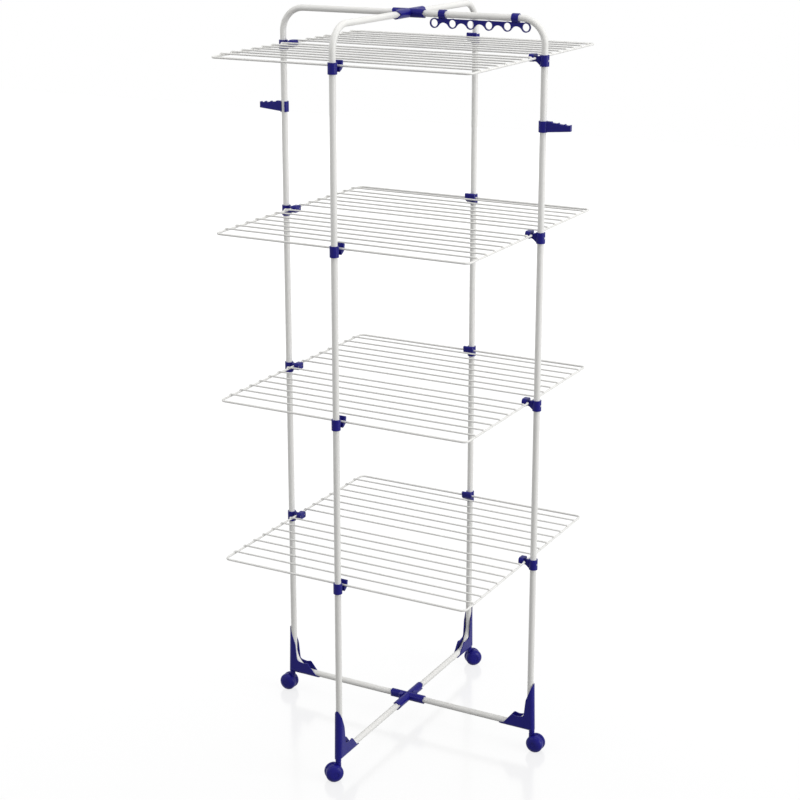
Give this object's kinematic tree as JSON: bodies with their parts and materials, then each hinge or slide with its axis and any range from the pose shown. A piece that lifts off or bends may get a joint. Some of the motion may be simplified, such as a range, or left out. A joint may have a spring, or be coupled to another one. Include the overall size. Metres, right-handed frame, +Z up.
{
  "type": "clothes drying rack",
  "caption": "Tall tower clothes airer on ball castors: tiers of folding wire wings on a cross-shaped tube frame with blue plastic joints, a hanger rail and hanger arms.",
  "frame": {"origin": "on the floor, at the centre of the tower", "axes": "+Z up along the posts, +X along the wires from the left post to the right post, +Y from front to rear"},
  "size_m": [0.81, 0.7636, 1.7825],
  "materials": {
    "white_powder_coat": "satin powder coat",
    "blue_plastic": "moulded, half gloss",
    "zinc_steel": "zinc plated"
  },
  "bodies": {
    "main_frame": {"bottom_hub": "blue_plastic", "top_hub": "blue_plastic", "gate_hinge_pins": "zinc_steel", "frame_screws": "zinc_steel", "hanger_rail": "blue_plastic", "left_post_tube": "white_powder_coat", "left_foot": "blue_plastic", "left_bracket_1": "blue_plastic", "left_bracket_2": "blue_plastic", "left_bracket_3": "blue_plastic", "left_bracket_4": "blue_plastic", "right_post_tube": "white_powder_coat", "right_foot": "blue_plastic", "right_bracket_1": "blue_plastic", "right_bracket_2": "blue_plastic", "right_bracket_3": "blue_plastic", "right_bracket_4": "blue_plastic"},
    "front_gate": {"front_gate_tube": "white_powder_coat", "front_foot": "blue_plastic", "front_bottom_knuckle": "blue_plastic", "front_top_knuckle": "blue_plastic", "front_collars": "blue_plastic", "front_catches": "blue_plastic", "front_screws": "zinc_steel"},
    "rear_gate": {"rear_gate_tube": "white_powder_coat", "rear_foot": "blue_plastic", "rear_bottom_knuckle": "blue_plastic", "rear_top_knuckle": "blue_plastic", "rear_collars": "blue_plastic", "rear_catches": "blue_plastic", "rear_screws": "zinc_steel"},
    "front_wing_1": {"front_wing_1": "white_powder_coat"},
    "front_wing_2": {"front_wing_2": "white_powder_coat"},
    "front_wing_3": {"front_wing_3": "white_powder_coat"},
    "front_wing_4": {"front_wing_4": "white_powder_coat"},
    "rear_wing_1": {"rear_wing_1": "white_powder_coat"},
    "rear_wing_2": {"rear_wing_2": "white_powder_coat"},
    "rear_wing_3": {"rear_wing_3": "white_powder_coat"},
    "rear_wing_4": {"rear_wing_4": "white_powder_coat"},
    "left_hanger_arm": {"left_hanger_arm": "blue_plastic"},
    "right_hanger_arm": {"right_hanger_arm": "blue_plastic"},
    "left_castor": {"left_castor_stem": "zinc_steel", "left_castor_housing": "blue_plastic"},
    "left_wheels": {"left_castor_axle": "zinc_steel", "left_castor_wheels": "blue_plastic"},
    "right_castor": {"right_castor_stem": "zinc_steel", "right_castor_housing": "blue_plastic"},
    "right_wheels": {"right_castor_axle": "zinc_steel", "right_castor_wheels": "blue_plastic"},
    "front_castor": {"front_castor_stem": "zinc_steel", "front_castor_housing": "blue_plastic"},
    "front_wheels": {"front_castor_axle": "zinc_steel", "front_castor_wheels": "blue_plastic"},
    "rear_castor": {"rear_castor_stem": "zinc_steel", "rear_castor_housing": "blue_plastic"},
    "rear_wheels": {"rear_castor_axle": "zinc_steel", "rear_castor_wheels": "blue_plastic"}
  },
  "joints": [
    {"name": "front_gate_fold", "type": "hinge", "parent": "main_frame", "child": "front_gate", "pos_m": [-0.0135, -0.0135, 0.9], "axis": [0, 0, -1], "range_deg": [0, 80], "deforming": ["front_catches"]},
    {"name": "rear_gate_fold", "type": "hinge", "parent": "main_frame", "child": "rear_gate", "pos_m": [0.0135, 0.0135, 0.9], "axis": [0, 0, -1], "range_deg": [0, 80], "deforming": ["rear_catches"]},
    {"name": "front_wing_1_fold", "type": "hinge", "parent": "main_frame", "child": "front_wing_1", "pos_m": [0, -0.009, 0.495], "axis": [1, 0, 0], "range_deg": [0, 90]},
    {"name": "front_wing_2_fold", "type": "hinge", "parent": "main_frame", "child": "front_wing_2", "pos_m": [0, -0.009, 0.8924], "axis": [1, 0, 0], "range_deg": [0, 90]},
    {"name": "front_wing_3_fold", "type": "hinge", "parent": "main_frame", "child": "front_wing_3", "pos_m": [0, -0.009, 1.2898], "axis": [1, 0, 0], "range_deg": [0, 90]},
    {"name": "front_wing_4_fold", "type": "hinge", "parent": "main_frame", "child": "front_wing_4", "pos_m": [0, -0.009, 1.6872], "axis": [1, 0, 0], "range_deg": [0, 90]},
    {"name": "rear_wing_1_fold", "type": "hinge", "parent": "main_frame", "child": "rear_wing_1", "pos_m": [0, 0.009, 0.495], "axis": [-1, 0, 0], "range_deg": [0, 90]},
    {"name": "rear_wing_2_fold", "type": "hinge", "parent": "main_frame", "child": "rear_wing_2", "pos_m": [0, 0.009, 0.8924], "axis": [-1, 0, 0], "range_deg": [0, 90]},
    {"name": "rear_wing_3_fold", "type": "hinge", "parent": "main_frame", "child": "rear_wing_3", "pos_m": [0, 0.009, 1.2898], "axis": [-1, 0, 0], "range_deg": [0, 90]},
    {"name": "rear_wing_4_fold", "type": "hinge", "parent": "main_frame", "child": "rear_wing_4", "pos_m": [0, 0.009, 1.6872], "axis": [-1, 0, 0], "range_deg": [0, 90]},
    {"name": "left_hanger_arm_swivel", "type": "hinge", "parent": "main_frame", "child": "left_hanger_arm", "pos_m": [-0.338, 0, 1.537], "axis": [0, 0, -1], "range_deg": [0, 90]},
    {"name": "right_hanger_arm_swivel", "type": "hinge", "parent": "main_frame", "child": "right_hanger_arm", "pos_m": [0.338, 0, 1.537], "axis": [0, 0, -1], "range_deg": [0, 90]},
    {"name": "right_castor_swivel", "type": "hinge", "parent": "main_frame", "child": "right_castor", "pos_m": [0.344, 0, 0.056], "axis": [0, 0, 1], "continuous": true},
    {"name": "right_wheels_roll", "type": "hinge", "parent": "right_castor", "child": "right_wheels", "pos_m": [0.355, 0, 0.0215], "axis": [0, 1, 0], "continuous": true},
    {"name": "left_castor_swivel", "type": "hinge", "parent": "main_frame", "child": "left_castor", "pos_m": [-0.344, 0, 0.056], "axis": [0, 0, 1], "continuous": true},
    {"name": "left_wheels_roll", "type": "hinge", "parent": "left_castor", "child": "left_wheels", "pos_m": [-0.355, 0, 0.0215], "axis": [0, -1, 0], "continuous": true},
    {"name": "front_castor_swivel", "type": "hinge", "parent": "front_gate", "child": "front_castor", "pos_m": [0, -0.351, 0.056], "axis": [0, 0, 1], "continuous": true},
    {"name": "front_wheels_roll", "type": "hinge", "parent": "front_castor", "child": "front_wheels", "pos_m": [-0.00778, -0.35878, 0.0215], "axis": [0.7071, -0.7071, 0], "continuous": true},
    {"name": "rear_castor_swivel", "type": "hinge", "parent": "rear_gate", "child": "rear_castor", "pos_m": [0, 0.351, 0.056], "axis": [0, 0, 1], "continuous": true},
    {"name": "rear_wheels_roll", "type": "hinge", "parent": "rear_castor", "child": "rear_wheels", "pos_m": [0.00778, 0.35878, 0.0215], "axis": [-0.7071, 0.7071, 0], "continuous": true}
  ],
  "couplings": [
    {"joint": "front_wing_1_fold", "follows": "front_gate_fold", "ratio": 1.125},
    {"joint": "front_wing_2_fold", "follows": "front_gate_fold", "ratio": 1.125},
    {"joint": "front_wing_3_fold", "follows": "front_gate_fold", "ratio": 1.125},
    {"joint": "front_wing_4_fold", "follows": "front_gate_fold", "ratio": 1.125},
    {"joint": "rear_wing_1_fold", "follows": "rear_gate_fold", "ratio": 1.125},
    {"joint": "rear_wing_2_fold", "follows": "rear_gate_fold", "ratio": 1.125},
    {"joint": "rear_wing_3_fold", "follows": "rear_gate_fold", "ratio": 1.125},
    {"joint": "rear_wing_4_fold", "follows": "rear_gate_fold", "ratio": 1.125}
  ]
}
